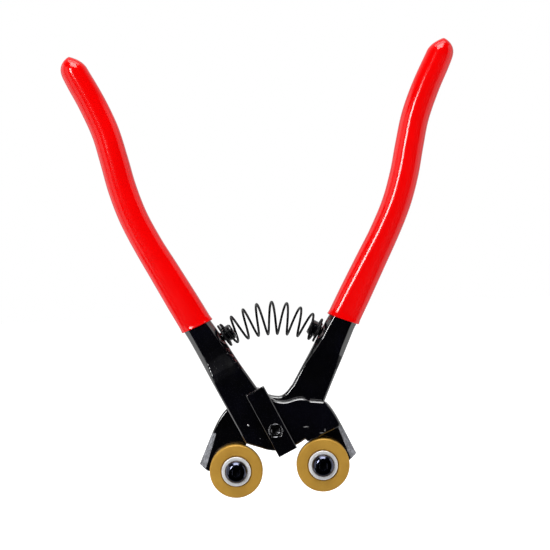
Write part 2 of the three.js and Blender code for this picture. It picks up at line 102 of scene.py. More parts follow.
# ---------------------------------------------------------------- node graphs
class Graph:
    """A material's node tree, written as short calls."""

    def __init__(self, name):
        self.material = bpy.data.materials.new(name)
        self.material.use_nodes = True
        self.nodes = self.material.node_tree.nodes
        self.links = self.material.node_tree.links
        self.shader = self.nodes["Principled BSDF"]
        self.place = self.nodes.new("ShaderNodeTexCoord").outputs["Object"]

    def set(self, **values):
        for key, value in values.items():
            name = key.replace("_", " ").title().replace("Ior", "IOR")
            self.shader.inputs[name].default_value = value

    def node(self, kind, inputs=(), **settings):
        made = self.nodes.new(kind)
        for key, value in settings.items():
            setattr(made, key, value)
        for key, value in dict(inputs).items():
            socket = made.inputs[key]
            if isinstance(value, bpy.types.NodeSocket):
                self.links.new(value, socket)
            else:
                socket.default_value = value
        return made

    def noise(self, scale, detail=3.0, roughness=0.55, stretch=None, offset=(0, 0, 0)):
        """Noise over the piece's own coordinates, so it turns with the piece."""
        vector = self.place
        if stretch or any(offset):
            vector = self.node("ShaderNodeMapping", {"Vector": vector,
                               "Scale": stretch or (1, 1, 1), "Location": offset}).outputs[0]
        return self.node("ShaderNodeTexNoise", {"Vector": vector, "Scale": scale,
                         "Detail": detail, "Roughness": roughness}).outputs["Fac"]

    def ramp(self, value, *stops):
        """Stops are (place, grey or colour)."""
        made = self.node("ShaderNodeValToRGB", {"Fac": value})
        elements = made.color_ramp.elements
        while len(elements) < len(stops):
            elements.new(0.5)
        for element, (place, colour) in zip(elements, stops):
            element.position = place
            element.color = colour if hasattr(colour, "__len__") else (colour,) * 3 + (1,)
        return made.outputs["Color"]

    def math(self, operation, a, b=0.5):
        return self.node("ShaderNodeMath", {0: a, 1: b}, operation=operation).outputs[0]

    def between(self, value, low, high):
        return self.node("ShaderNodeMapRange", {"Value": value, "To Min": low,
                         "To Max": high}).outputs[0]

    def mix(self, share, a, b):
        made = self.node("ShaderNodeMix", data_type="RGBA")
        for socket, value in zip((made.inputs[0], made.inputs[6], made.inputs[7]),
                                 (share, a, b)):
            if isinstance(value, bpy.types.NodeSocket):
                self.links.new(value, socket)
            else:
                socket.default_value = value
        return made.outputs[2]

    def bump(self, height, distance, strength=1.0, normal=None):
        """A bump on top of normal; the distance is in metres."""
        inputs = {"Height": height, "Distance": distance, "Strength": strength}
        if normal is not None:
            inputs["Normal"] = normal
        return self.node("ShaderNodeBump", inputs).outputs[0]

    def radius_from(self, centre):
        """Distance from an axis along Y through centre, in metres."""
        parts = self.node("ShaderNodeSeparateXYZ", {"Vector": self.place})
        dx = self.math("SUBTRACT", parts.outputs["X"], centre[0])
        dz = self.math("SUBTRACT", parts.outputs["Z"], centre[2])
        square = self.math("ADD", self.math("MULTIPLY", dx, dx), self.math("MULTIPLY", dz, dz))
        return self.math("SQRT", square)

    def rings(self, centre, scale, detail, roughness):
        """Fine turned rings round an axis along Y through centre."""
        radius = self.math("MULTIPLY", self.radius_from(centre), scale)
        return self.node("ShaderNodeTexNoise", {"W": radius, "Scale": 1.0, "Detail": detail,
                         "Roughness": roughness}, noise_dimensions="1D").outputs["Fac"]

    def painted_glint(self, x, z, wide, tall):
        """A small ragged painted highlight on the front lever, as a mask."""
        parts = self.node("ShaderNodeSeparateXYZ", {"Vector": self.place})
        dx = self.math("DIVIDE", self.math("SUBTRACT", parts.outputs["X"], x), wide)
        dz = self.math("DIVIDE", self.math("SUBTRACT", parts.outputs["Z"], z), tall)
        far = self.math("ADD", self.math("MULTIPLY", dx, dx), self.math("MULTIPLY", dz, dz))
        ragged = self.math("ADD", far, self.noise(1500, 2, 0.6))
        front = self.math("LESS_THAN", parts.outputs["Y"], -SCREW_BACK)
        return self.math("MULTIPLY", self.ramp(ragged, (0.55, 0.8), (1.0, 0.0)), front)

    def edge_wear_and_highlight(self, low, high):
        """Bright on convex edges: rubbed wear and a painted edge highlight."""
        pointiness = self.node("ShaderNodeNewGeometry").outputs["Pointiness"]
        return self.ramp(pointiness, (low, 0.0), (high, 1.0))

    def link(self, **sockets):
        for key, value in sockets.items():
            self.links.new(value, self.shader.inputs[key.replace("_", " ").title()])
        return self.material


def enamel():
    """Glossy black enamel over forged steel: orange peel, slow swells, fine pits, a few painted
    highlights as light-grey spots.
    """
    g = Graph("black_enamel")
    g.set(metallic=0.0, ior=1.7, specular_ior_level=0.5, coat_weight=1.0,
          coat_roughness=0.04, coat_ior=1.5)
    peel = g.noise(420, 2.0, 0.5)
    swell = g.noise(95, 2.5, 0.5)
    pits = g.noise(1500, 1.0, 0.5, offset=(0.3, 0.1, 0.2))
    colour = g.mix(g.ramp(g.noise(60, 4, 0.6), (0.35, 0.0), (0.75, 1.0)),
                   (0.0005, 0.0005, 0.0008, 1), (0.0012, 0.0012, 0.0030, 1))
    # painted highlights: light grey mixed into the enamel at the glint spots on the front hub
    for x, z, wide, tall in PAINTED_GLINTS:
        colour = g.mix(g.painted_glint(x * MM, z * MM, wide * MM, tall * MM), colour, (0.2, 0.2, 0.2, 1))
    rough = g.between(g.noise(160, 4, 0.65), 0.08, 0.2)
    normal = g.bump(swell, 0.00022, 0.6)
    normal = g.bump(peel, 0.00005, 0.5, normal)
    normal = g.bump(g.ramp(pits, (0.25, 0.0), (0.32, 1.0)), 0.00002, 0.35, normal)
    return g.link(base_color=colour, roughness=rough, normal=normal)


def sheened_bevel():
    """The wide bevels beside the wheels: enamel over a coarser, hammered face, with a painted sheen,
    a grey tone for the side light they catch.
    """
    g = Graph("bevel_enamel_painted_sheen")
    g.set(metallic=0.0, ior=1.5, specular_ior_level=0.55)
    grain = g.noise(900, 5, 0.7)
    lumps = g.noise(330, 3, 0.6)
    # painted sheen: grey base tone for the side light caught by the outward bevels, mixed by real
    # grain
    colour = g.mix(g.ramp(grain, (0.38, 0.0), (0.66, 1.0)), (0.06, 0.062, 0.07, 1),
                   (0.25, 0.255, 0.28, 1))
    rough = g.between(g.noise(520, 4, 0.7), 0.34, 0.62)
    normal = g.bump(lumps, 0.0002, 0.7)
    normal = g.bump(grain, 0.00008, 0.8, normal)
    return g.link(base_color=colour, roughness=rough, normal=normal)


def vinyl():
    """Dipped red vinyl: deep gloss, slow waves from dipping, a fine skin."""
    g = Graph("red_vinyl")
    g.set(metallic=0.0, ior=1.48, specular_ior_level=0.5)
    tone = g.ramp(g.noise(38, 4, 0.6), (0.3, 0.0), (0.7, 1.0))
    colour = g.mix(tone, (0.55, 0.0003, 0.0004, 1), (0.60, 0.0006, 0.0008, 1))
    waves = g.noise(60, 2, 0.45, stretch=(1, 1, 0.35))
    skin = g.noise(1100, 2, 0.5)
    rough = g.between(g.noise(210, 4, 0.7), 0.08, 0.17)
    normal = g.bump(waves, 0.0004, 0.35)
    normal = g.bump(skin, 0.00001, 0.4, normal)
    return g.link(base_color=colour, roughness=rough, normal=normal)


def coated_carbide(name, centre):
    """Satin gold coating on ground carbide: fine turned rings, soft mottling."""
    g = Graph(name)
    g.set(metallic=0.4, ior=1.5)
    rings = g.rings(centre, 9000.0, 3.0, 0.7)
    cloud = g.noise(170, 4, 0.6)
    speck = g.noise(2600, 2, 0.5)
    tone = g.mix(g.ramp(cloud, (0.3, 0.0), (0.72, 1.0)), (0.40, 0.208, 0.020, 1),
                 (0.48, 0.262, 0.031, 1))
    colour = g.mix(g.math("MULTIPLY", g.ramp(rings, (0.35, 0.0), (0.75, 1.0)), 0.22), tone,
                   (0.50, 0.31, 0.06, 1))
    rough = g.between(g.math("ADD", g.math("MULTIPLY", rings, 0.5),
                             g.math("MULTIPLY", speck, 0.5)), 0.36, 0.56)
    normal = g.bump(rings, 0.00001, 0.5)
    normal = g.bump(speck, 0.000006, 0.5, normal)
    return g.link(base_color=colour, roughness=rough, normal=normal)


def zinc(name, centre):
    """Bright zinc plate with a turned face."""
    g = Graph(name)
    g.set(metallic=0.35)
    rings = g.rings(centre, 14000.0, 2.0, 0.5)
    cloud = g.noise(260, 4, 0.65)
    colour = g.mix(g.ramp(cloud, (0.3, 0.0), (0.7, 1.0)), (0.58, 0.59, 0.60, 1),
                   (0.74, 0.74, 0.75, 1))
    rough = g.between(g.math("ADD", g.math("MULTIPLY", rings, 0.5),
                             g.math("MULTIPLY", cloud, 0.5)), 0.2, 0.42)
    normal = g.bump(rings, 0.000008, 0.5)
    return g.link(base_color=colour, roughness=rough, normal=normal)


def blued(name="black_oxide", tint=(0.045, 0.05, 0.08, 1)):
    """Black oxide, oiled: dark blue-black metal, edges painted brighter for rubbed wear and an edge
    highlight.
    """
    g = Graph(name)
    g.set(metallic=1.0, ior=1.55, coat_weight=0.5, coat_roughness=0.04)
    # painted edge highlight, partly rubbed wear: light grey mixed in on convex edges
    wear_and_highlight = g.math("MULTIPLY", g.edge_wear_and_highlight(0.54, 0.64), 0.3)
    colour = g.mix(wear_and_highlight, g.mix(g.ramp(g.noise(420, 4, 0.6), (0.35, 0.0), (0.7, 1.0)), tint,
                               tuple(1.5 * c for c in tint[:3]) + (1,)), (0.4, 0.41, 0.44, 1))
    rough = g.between(g.noise(700, 3, 0.6), 0.08, 0.2)
    normal = g.bump(g.noise(1300, 2, 0.5), 0.000006, 0.4)
    return g.link(base_color=colour, roughness=rough, normal=normal)


def spring_wire():
    """Drawn black wire with faint draw marks."""
    g = Graph("spring_wire")
    g.set(metallic=0.0, ior=1.45, specular_ior_level=0.15)
    marks = g.noise(900, 3, 0.6)
    colour = g.mix(g.ramp(marks, (0.45, 0.0), (0.75, 1.0)), (0.001, 0.001, 0.0013, 1),
                   (0.012, 0.012, 0.014, 1))
    rough = g.between(g.noise(1600, 2, 0.5), 0.2, 0.36)
    normal = g.bump(marks, 0.00001, 0.6)
    return g.link(base_color=colour, roughness=rough, normal=normal)


# ---------------------------------------------------------------- meshes
def new_object(name, vertices, faces, material, smooth_angle=35):
    mesh = bpy.data.meshes.new(name)
    mesh.from_pydata([tuple(v) for v in vertices], [], faces)
    mesh.validate()
    tidy = bmesh.new()
    tidy.from_mesh(mesh)
    bmesh.ops.remove_doubles(tidy, verts=tidy.verts, dist=1e-7)
    bmesh.ops.recalc_face_normals(tidy, faces=tidy.faces)
    tidy.to_mesh(mesh)
    tidy.free()
    mesh.shade_smooth()
    mesh.set_sharp_from_angle(angle=math.radians(smooth_angle))
    piece = bpy.data.objects.new(name, mesh)
    SCENE.collection.objects.link(piece)
    mesh.materials.append(material)
    return piece


def keep(piece, body, slot, *nodes):
    """Rides a finished piece on its body and lets it stand for its CAD nodes."""
    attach(piece, body)
    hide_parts(*nodes)


def rounded(profile, steps=4):
    """A closed or open (radius, depth, fillet) outline, corners rounded by their fillet."""
    points = []
    count = len(profile)
    for i, (r, y, fillet) in enumerate(profile):
        here = Vector((r, y))
        if not fillet:
            points.append(here)
            continue
        before = Vector(profile[i - 1][:2]) - here
        after = Vector(profile[(i + 1) % count][:2]) - here
        reach_a = min(fillet, before.length * 0.49)
        reach_b = min(fillet, after.length * 0.49)
        a = here + before.normalized() * reach_a
        b = here + after.normalized() * reach_b
        for k in range(steps + 1):
            t = k / steps
            points.append(a * (1 - t) ** 2 + here * 2 * t * (1 - t) + b * t ** 2)
    return points


def polar(name, loops, centre, material, sides=96, closed=False, angle=35):
    """A piece swept round an axis along Y. A loop is (radius, depth), each a number or a
    function of the angle. Loops of radius 0 close to a point; closed joins last to first."""
    vertices, faces, rows = [], [], []
    for radius, depth in loops:
        if radius == 0:
            rows.append([len(vertices)] * sides)
            vertices.append((centre[0], depth, centre[2]))
            continue
        row = []
        for k in range(sides):
            turn = 2 * math.pi * k / sides
            r = radius(turn) if callable(radius) else radius
            y = depth(turn) if callable(depth) else depth
            row.append(len(vertices))
            vertices.append((centre[0] + r * math.sin(turn), y,
                             centre[2] + r * math.cos(turn)))
        rows.append(row)
    pairs = list(zip(rows, rows[1:])) + ([(rows[-1], rows[0])] if closed else [])
    for first, second in pairs:
        for k in range(sides):
            j = (k + 1) % sides
            corners = [first[k], first[j], second[j], second[k]]
            corners = [c for i, c in enumerate(corners) if c not in corners[:i]]
            if len(corners) > 2:
                faces.append(corners)
    return new_object(name, vertices, faces, material, angle)


def hexagon(flats):
    """Radius of a hexagon's wall at an angle."""
    return lambda turn: flats / 2 / math.cos(turn % (math.pi / 3) - math.pi / 6)


def middle(node):
    low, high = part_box(node)
    return (low + high) / 2


def forged(node, name, material, voxel, rounds, share, shape=None):
    """A CAD node's solid with its edges rolled over, as a forging's are."""
    mesh = NODES[node].data.copy()
    mesh.name = name
    piece = bpy.data.objects.new(name, mesh)
    SCENE.collection.objects.link(piece)
    mesh.materials.clear()
    mesh.materials.append(material)
    weld = bmesh.new()
    weld.from_mesh(mesh)
    bmesh.ops.remove_doubles(weld, verts=weld.verts, dist=1e-6)
    weld.to_mesh(mesh)
    weld.free()
    for kind, settings in (
            ("REMESH", {"mode": "VOXEL", "voxel_size": voxel}),
            ("SMOOTH", {"factor": 0.5, "iterations": rounds})):
        modifier = piece.modifiers.new(kind, kind)
        for key, value in settings.items():
            setattr(modifier, key, value)
    apply_modifiers(piece)
    if shape:
        shape(piece.data)
    modifier = piece.modifiers.new("DECIMATE", "DECIMATE")
    modifier.ratio = share
    apply_modifiers(piece)
    piece.data.materials.clear()
    piece.data.materials.append(material)
    piece.data.shade_smooth()
    return piece


def apply_modifiers(piece):
    graph = bpy.context.evaluated_depsgraph_get()
    mesh = bpy.data.meshes.new_from_object(piece.evaluated_get(graph))
    old = piece.data
    piece.modifiers.clear()
    piece.data = mesh
    mesh.name = piece.name
    bpy.data.meshes.remove(old)


def push(mesh, field):
    """Moves each vertex along its normal by field(position, normal)."""
    count = len(mesh.vertices)
    at, normal = np.zeros(count * 3), np.zeros(count * 3)
    mesh.vertices.foreach_get("co", at)
    mesh.vertices.foreach_get("normal", normal)
    at, normal = at.reshape(-1, 3), normal.reshape(-1, 3)
    at += normal * field(at, normal)[:, None]
    mesh.vertices.foreach_set("co", at.ravel())
    mesh.update()


# ---------------------------------------------------------------- levers
ENAMEL = enamel()
SHEENED_BEVEL = sheened_bevel()
BLUED = blued()
HUB_FRONT = -SCREW_BACK - 6.4 * MM           # front face of the front lever's hub


def uneven(at, normal):
    """Slight forging unevenness, plus the spots on the hub's face."""
    height = np.array([noise.noise(Vector(p) * UNEVEN["scale"]) for p in at]) * UNEVEN["height"]
    front = (normal[:, 1] < -0.5) & (at[:, 1] < HUB_FRONT + 1 * MM)
    for x, z, radius, rise in HUB_SPOTS:
        gap = np.hypot(at[:, 0] - x * MM, at[:, 2] - z * MM) / (radius * MM)
        height += np.where(front, np.exp(-gap ** 2) * rise * MM, 0)
    return height


def mark_bevel(piece, side):
    """Gives the wide bevel beside a wheel its coarser face and its painted sheen."""
    piece.data.materials.append(SHEENED_BEVEL)
    wheel = middle("right_wheel" if side > 0 else "left_wheel")
    for face in piece.data.polygons:
        n, c = face.normal, face.center
        outside = side * (c.x - wheel.x) > BEVEL_START["beside"] and c.z < BEVEL_START["below"]
        if outside and n.y < -0.3 and side * n.x > 0.3:
            face.material_index = 1


for side, node, body in ((1, "front_lever", "front_half"), (-1, "rear_lever", "rear_half")):
    lever = forged(node, node + "_forging", ENAMEL, shape=lambda mesh: push(mesh, uneven),
                   **LEVER_FORGING)
    mark_bevel(lever, side)
    keep(lever, body, "lever_enamel", node)

keep(forged("pivot_bar", "pivot_bar_flat", ENAMEL, **BAR_FORGING), "front_half",
     "lever_enamel", "pivot_bar")


# ---------------------------------------------------------------- grips
VINYL = vinyl()


def catmull(points, share):
    """A point and its direction on a smooth curve through points, share from 0 to 1."""
    place = float(min(max(share, 0.0), 1.0)) * (len(points) - 1)
    i = min(int(place), len(points) - 2)
    t = place - i
    p0, p1 = points[max(i - 1, 0)], points[i]
    p2, p3 = points[i + 1], points[min(i + 2, len(points) - 1)]
    v0, v1 = (p2 - p0) / 2, (p3 - p1) / 2
    at = ((2 * t ** 3 - 3 * t ** 2 + 1) * p1 + (t ** 3 - 2 * t ** 2 + t) * v0
          + (3 * t ** 2 - 2 * t ** 3) * p2 + (t ** 3 - t ** 2) * v1)
    slope = ((6 * t ** 2 - 6 * t) * p1 + (3 * t ** 2 - 4 * t + 1) * v0
             + (6 * t - 6 * t ** 2) * p2 + (3 * t ** 2 - 2 * t) * v1)
    return at, slope.normalized()


def spaced(points, count=400):
    """Even steps along the curve: share of points against share of length."""
    shares = np.linspace(0, 1, count)
    line = [catmull(points, s)[0] for s in shares]
    steps = [0.0] + [(b - a).length for a, b in zip(line, line[1:])]
    length = np.cumsum(steps)
    return shares, length


def section_wall(turn, share):
    """Radius of a grip's section: nearly square at the arm, nearly oval at the tip."""
    power = SECTION["tip"] + SECTION["mouth"] * math.exp(-share / SECTION["fade"])
    return (abs(math.cos(turn)) ** power + abs(math.sin(turn)) ** power) ** (-1 / power)


def tip_edges(reach):
    """Half-widths inside and outside the axis, and half-depth, over the rounded tip: full and
    round outside, a straighter slope inside, meeting in a small point beside the axis."""
    point = 0.17
    inside = 1 - (1 - point) * reach ** 2.1
    outside = (1 - reach ** 3) ** 0.6 * (1 + point * reach) - point * reach
    return inside, outside, (1 - reach ** 2.6) ** 0.6


def grip(name, side):
    points = [Vector((x * MM, z * MM)) for x, z in GRIP_LINE]
    shares, length = spaced(points)
    total, sides = length[-1], 96
    straight = total - GRIP_ROUND_OFF
    # distance along the grip, inset from its full section, share of the rounded tip
    stations = [(0.0, -1.3 * MM, 0), (0.0, -0.6 * MM, 0), (0.12 * MM, -0.22 * MM, 0),
                (0.4 * MM, 0.02 * MM, 0)]
    stations += [(d, 0.0, 0) for d in np.linspace(0.9 * MM, straight, 90)]
    tip_rows, last_turn = 16, 1.54           # the tip's rings crowd towards a quarter turn
    for k in range(1, tip_rows + 1):
        reach = math.sin(k / tip_rows * last_turn)
        stations.append((straight + GRIP_ROUND_OFF * reach, 0.0, reach))
    vertices, faces = [], []
    for distance, inset, reach in stations:
        share = float(np.interp(distance, length, shares))
        at, along = catmull(points, share)
        tilt = MOUTH_TILT * max(0.0, 1 - distance / MOUTH_REACH)
        along = Matrix.Rotation(tilt, 2) @ along
        width = float(np.interp(distance / total, np.linspace(0, 1, len(GRIP_WIDTHS)),
                                GRIP_WIDTHS)) * MM
        lip = LIP["rise"] * math.exp(-(distance / LIP["reach"]) ** 2)
        inside, outside, fade = tip_edges(reach)
        half_w = (width / 2 + inset + lip) * (inside + outside) / 2
        shift = width / 2 * (inside - outside) / 2
        half_d = (GRIP_DEPTH * MM / 2 + inset + lip) * fade
        for k in range(sides):
            turn = 2 * math.pi * (k + 0.5) / sides
            wall = section_wall(turn, distance / total)
            across = shift + half_w * wall * math.cos(turn)
            depth = half_d * wall * math.sin(turn)
            vertices.append(Vector((side * (at.x - along.y * across), depth - SCREW_BACK,
                                    at.y + along.x * across)))
    rows = len(stations)
    for row in range(rows - 1):
        for k in range(sides):
            j = (k + 1) % sides
            faces.append((row * sides + k, row * sides + j, (row + 1) * sides + j,
                          (row + 1) * sides + k))
    faces.append(tuple(range(sides)))
    faces.append(tuple(range((rows - 1) * sides, rows * sides)))
    return new_object(name, vertices, faces, VINYL, 50)


for side, label, body in ((-1, "left_grip", "front_half"), (1, "right_grip", "rear_half")):
    keep(grip(label + "_vinyl", side), body, "grip_vinyl", label)


# ---------------------------------------------------------------- wheels and their fasteners
def wheel(node, body):
    """A carbide wheel with a shallow groove round its face and a chamfered edge."""
    low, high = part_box(node)
    centre = (low + high) / 2
    rim, bore = (high.x - low.x) / 2, WHEEL_BORE
    front, back = low.y, high.y
    inner, outer, sunk = GROOVE["inner"], GROOVE["outer"], front + GROOVE["depth"]
    profile = [(bore, front + 0.3 * MM, 0.1 * MM), (bore + 0.3 * MM, front, 0.1 * MM),
               (inner, front, 0), (inner + 0.1 * MM, sunk, 0.05 * MM),
               (outer - 0.15 * MM, sunk, 0.05 * MM), (outer, front, 0.08 * MM),
               (rim - 0.5 * MM, front, 0.12 * MM), (rim, front + 0.45 * MM, 0.16 * MM),
               (rim, back - 0.45 * MM, 0.16 * MM), (rim - 0.5 * MM, back, 0.12 * MM),
               (bore + 0.3 * MM, back, 0.1 * MM), (bore, back - 0.3 * MM, 0.1 * MM)]
    piece = polar(node + "_carbide", rounded(profile), centre,
                  coated_carbide(node + "_coating", centre), 144, closed=True)
    keep(piece, body, "coated_carbide", node)


def bush(node, body):
    """A plated sleeve through the wheel, with its flange in front."""
    low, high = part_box(node)
    centre = (low + high) / 2
    flange, sleeve, bore = (high.x - low.x) / 2, BUSH["sleeve"], BUSH["bore"]
    front, step = low.y, low.y + BUSH["flange"]
    profile = [(bore, front, 0.15 * MM), (4.85 * MM, front, 0), (flange, front, 0.32 * MM),
               (flange, step, 0.12 * MM), (sleeve, step, 0.1 * MM), (sleeve, high.y, 0.2 * MM),
               (bore, high.y, 0.2 * MM)]
    piece = polar(node + "_flanged", rounded(profile, 5), centre,
                  zinc(node + "_plate", centre), 96, closed=True)
    keep(piece, body, "zinc_steel", node)


def threaded(radius, front, back, pitch, depth, rows_per_pitch=8, end_round=0.5 * MM):
    """Loops of a helical thread between two depths, its end rounded over."""
    count = max(3, int((back - front) / pitch * rows_per_pitch))
    loops = []
    for k in range(count + 1):
        y = front + (back - front) * k / count

        def wall(turn, y=y):
            phase = (y / pitch - turn / (2 * math.pi)) % 1.0
            crest = 1 - abs(2 * phase - 1)
            fade = min(1.0, max(0.0, (back - y) / end_round))
            return radius - depth * (1 - crest) - depth * 0.9 * (1 - fade)
        loops.append((wall, y))
    return loops


def button_screw(node, body):
    """A domed head with a hex socket, a plain shank and a thread."""
    low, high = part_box(node)
    centre = (low + high) / 2
    head = (high.x - low.x) / 2
    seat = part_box(node.replace("screw", "bush"))[0].y - 0.1 * MM
    top, radius, end = low.y, M5["radius"], high.y
    socket, mouth = hexagon(M5["socket"]), hexagon(M5["socket"] + 0.25 * MM)
    crown = 2.1 * MM                         # flat top of the dome
    dome_rows, dome_turn = 22, 1.25
    loops = [(0, top + 1.75 * MM), (lambda t: 0.5 * socket(t), top + 1.6 * MM),
             (socket, top + 1.5 * MM), (socket, top + 0.9 * MM), (socket, top + 0.42 * MM),
             (mouth, top + 0.32 * MM), (crown - 0.25 * MM, top + 0.05 * MM), (crown, top)]
    for k in range(1, dome_rows + 1):
        turn = k / dome_rows * dome_turn
        out = math.sin(turn) / math.sin(dome_turn)
        down = (1 - math.cos(turn)) / (1 - math.cos(dome_turn))
        loops.append((crown + (head - crown) * out, top + (seat - 0.45 * MM - top) * down))
    plain = end - M5["threaded"]
    loops += [(head, seat - 0.38 * MM), (head, seat - 0.2 * MM),
              (head - 0.06 * MM, seat - 0.06 * MM), (head - 0.18 * MM, seat),
              (radius + 0.25 * MM, seat), (radius, seat + 0.2 * MM), (radius, seat + 0.8 * MM),
              (radius, plain)]
    loops += threaded(radius, plain + 0.2 * MM, end, M5["pitch"], M5["depth"])
    loops += [(1.2 * MM, end), (0, end)]
    keep(polar(node + "_button", loops, centre, BLUED, 96, angle=30), body, "blued_steel", node)


def hex_nut(node, body, flats, bore):
    """A hex nut, chamfered on both faces."""
    low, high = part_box(node)
    centre = (low + high) / 2
    front, back = low.y, high.y
    wall = hexagon(flats)
    face = flats / 2 * 0.97
    slope = math.tan(math.radians(30))

    def drop(turn):
        return max(0.0, wall(turn) - face) * slope

    def shoulder(inset):
        return lambda turn: wall(turn) - inset

    loops = [(bore, front + 0.5 * MM), (bore + 0.45 * MM, front + 0.08 * MM),
             (bore + 0.55 * MM, front), (face - 0.1 * MM, front), (face, front + 0.02 * MM),
             (shoulder(0.06 * MM), lambda t: front + drop(t) * 0.96),
             (wall, lambda t: front + drop(t) + 0.07 * MM),
             (wall, (front + back) / 2),
             (wall, lambda t: back - drop(t) - 0.07 * MM),
             (shoulder(0.06 * MM), lambda t: back - drop(t) * 0.96),
             (face, back - 0.02 * MM), (face - 0.1 * MM, back), (bore + 0.55 * MM, back),
             (bore + 0.45 * MM, back - 0.08 * MM), (bore, back - 0.5 * MM)]
    keep(polar(node + "_hex", loops, centre, BLUED, 120, closed=True, angle=28), body,
         "blued_steel", node)


def split_washer(node, body):
    """A spring lock washer: a square section swept most of the way round, slightly twisted."""
    low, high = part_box(node)
    centre = (low + high) / 2
    outer, inner = (high.x - low.x) / 2, LOCK_WASHER_BORE
    thick = high.y - low.y
    sides, gap = 90, math.radians(9)
    squeeze, lead = 0.92, 0.08               # thickness kept, and rise of one end, per thickness
    section = rounded([(inner, 0, 0.1 * MM), (outer, 0, 0.2 * MM), (outer, thick, 0.2 * MM),
                       (inner, thick, 0.1 * MM)], 3)
    vertices, faces = [], []
    for k in range(sides + 1):
        turn = gap / 2 + (2 * math.pi - gap) * k / sides
        for r, y in section:
            depth = (centre.y + (y - thick / 2) * squeeze + (k / sides - 0.5) * lead * thick)
            vertices.append((centre.x + r * math.sin(turn), depth, centre.z + r * math.cos(turn)))
    count = len(section)
    for k in range(sides):
        for i in range(count):
            j = (i + 1) % count
            faces.append((k * count + i, k * count + j, (k + 1) * count + j, (k + 1) * count + i))
    faces.append(tuple(range(count)))
    faces.append(tuple(range(sides * count, (sides + 1) * count)))
    keep(new_object(node + "_split", vertices, faces, zinc(node + "_plate", centre)), body,
         "zinc_steel", node)


for label, holder, cutter in (("left", "rear_half", "left_cutter"),
                              ("right", "front_half", "right_cutter")):
    wheel(label + "_wheel", cutter)
    bush(label + "_wheel_bush", holder)
    button_screw(label + "_wheel_screw", holder)
    split_washer(label + "_lock_washer", holder)
    hex_nut(label + "_wheel_nut", holder, M5["flats"], M5["bore"])


# ---------------------------------------------------------------- pivot
def pivot_screw(node="pivot_screw"):
    """A headless screw: a raised rim round a dished end with a hex socket, and a thread."""
    low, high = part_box(node)
    centre = (low + high) / 2
    front, back, radius = low.y, high.y, (high.x - low.x) / 2
    socket, mouth = hexagon(M6["socket"]), hexagon(M6["socket"] + 0.3 * MM)
    plain = back - M6["threaded"]
    loops = [(0, front + 2.6 * MM), (lambda t: 0.5 * socket(t), front + 2.4 * MM),
             (socket, front + 2.2 * MM), (socket, front + 1.2 * MM), (socket, front + 0.7 * MM),
             (mouth, front + 0.6 * MM), (1.95 * MM, front + 0.32 * MM),
             (2.1 * MM, front + 0.3 * MM), (radius - 0.55 * MM, front + 0.3 * MM),
             (radius - 0.4 * MM, front + 0.08 * MM), (radius - 0.28 * MM, front),
             (radius - 0.16 * MM, front + 0.02 * MM), (radius - 0.04 * MM, front + 0.14 * MM),
             (radius, front + 0.4 * MM), (radius, front + 1.4 * MM), (radius, plain)]
    loops += threaded(radius, plain + 0.2 * MM, back, M6["pitch"], M6["depth"])
    loops += [(1.6 * MM, back), (0, back)]
    # lighter tint; its edges painted brighter as in blued: rubbed wear and painted edge highlight
    rim = blued("rubbed_oxide_edge_highlit", (0.16, 0.16, 0.17, 1))
    keep(polar(node + "_socketed", loops, centre, rim, 96, angle=30), "front_half",
         "blued_steel", node)


def flat_ring(node, inner, fillet):
    """A plated washer or shim."""
    low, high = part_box(node)
    centre = (low + high) / 2
    outer = (high.x - low.x) / 2
    profile = [(inner, low.y, fillet), (outer, low.y, fillet), (outer, high.y, fillet),
               (inner, high.y, fillet)]
    keep(polar(node + "_ring", rounded(profile), centre, zinc(node + "_plate", centre), 96,
               closed=True), "front_half", "zinc_steel", node)


pivot_screw()
flat_ring("pivot_shim", PIVOT_WASHER_BORE, 0.08 * MM)
flat_ring("pivot_washer", PIVOT_WASHER_BORE, 0.22 * MM)
hex_nut("pivot_nut", "front_half", M6["flats"], M6["bore"])


# ---------------------------------------------------------------- studs and spring
def spring_stud(node, side, body):
    """A peg on the arm's edge, flanged where the spring's dead coil sits."""
    tilt = Vector((-side * math.cos(STUD_TILT), 0, math.sin(STUD_TILT)))
    turn = Vector((0, 1, 0)).rotation_difference(tilt).to_matrix().to_4x4()
    x, z = STUD_FOOT[side]
    foot = Matrix.Translation((side * x, -SCREW_BACK, z))
    r, length, start, tenon = (STUD[k] for k in ("radius", "length", "start", "tenon"))
    profile = [(tenon, -STUD["tenon_length"], 0.3 * MM), (tenon, start, 0),
               (r, start, 0.2 * MM), (r, start + 0.6 * MM, 0.15 * MM),
               (r - 0.25 * MM, start + 0.9 * MM, 0.15 * MM),
               (r - 0.25 * MM, length - 0.8 * MM, 0.2 * MM), (STUD["tip"], length, 0.3 * MM)]
    points = rounded(profile, 4)
    loops = [(0, -STUD["tenon_length"])] + [tuple(p) for p in points] + [(0, length)]
    piece = polar(node + "_peg", loops, Vector((0, 0, 0)), ENAMEL, 72)
    piece.data.transform(foot @ turn)
    keep(piece, body, "lever_enamel", node)


spring_stud("left_spring_stud", -1, "front_half")
spring_stud("right_spring_stud", 1, "rear_half")


def bow(share):
    """The spring's centre line: off one stud, bowed up, onto the other."""
    peak = (8 * SPRING["crown"] - sum(z for _, z in STUD_FOOT.values())) / 6
    ends = []
    for side, (x, z) in STUD_FOOT.items():
        pair = [Vector((side * x, z)), Vector((side * (x - (peak - z) / math.tan(STUD_TILT)), peak))]
        ends += pair[::-side]
    t, u = float(share), 1 - float(share)
    at = (u ** 3 * ends[0] + 3 * u * u * t * ends[1] + 3 * u * t * t * ends[2] + t ** 3 * ends[3])
    slope = (u * u * (ends[1] - ends[0]) + 2 * u * t * (ends[2] - ends[1])
             + t * t * (ends[3] - ends[2]))
    return at, slope.normalized()


def coil_radius(live):
    """Barrel shape: wider in the middle of the working coils."""
    return SPRING["end"] + (SPRING["middle"] - SPRING["end"]) * math.sin(math.pi * live)


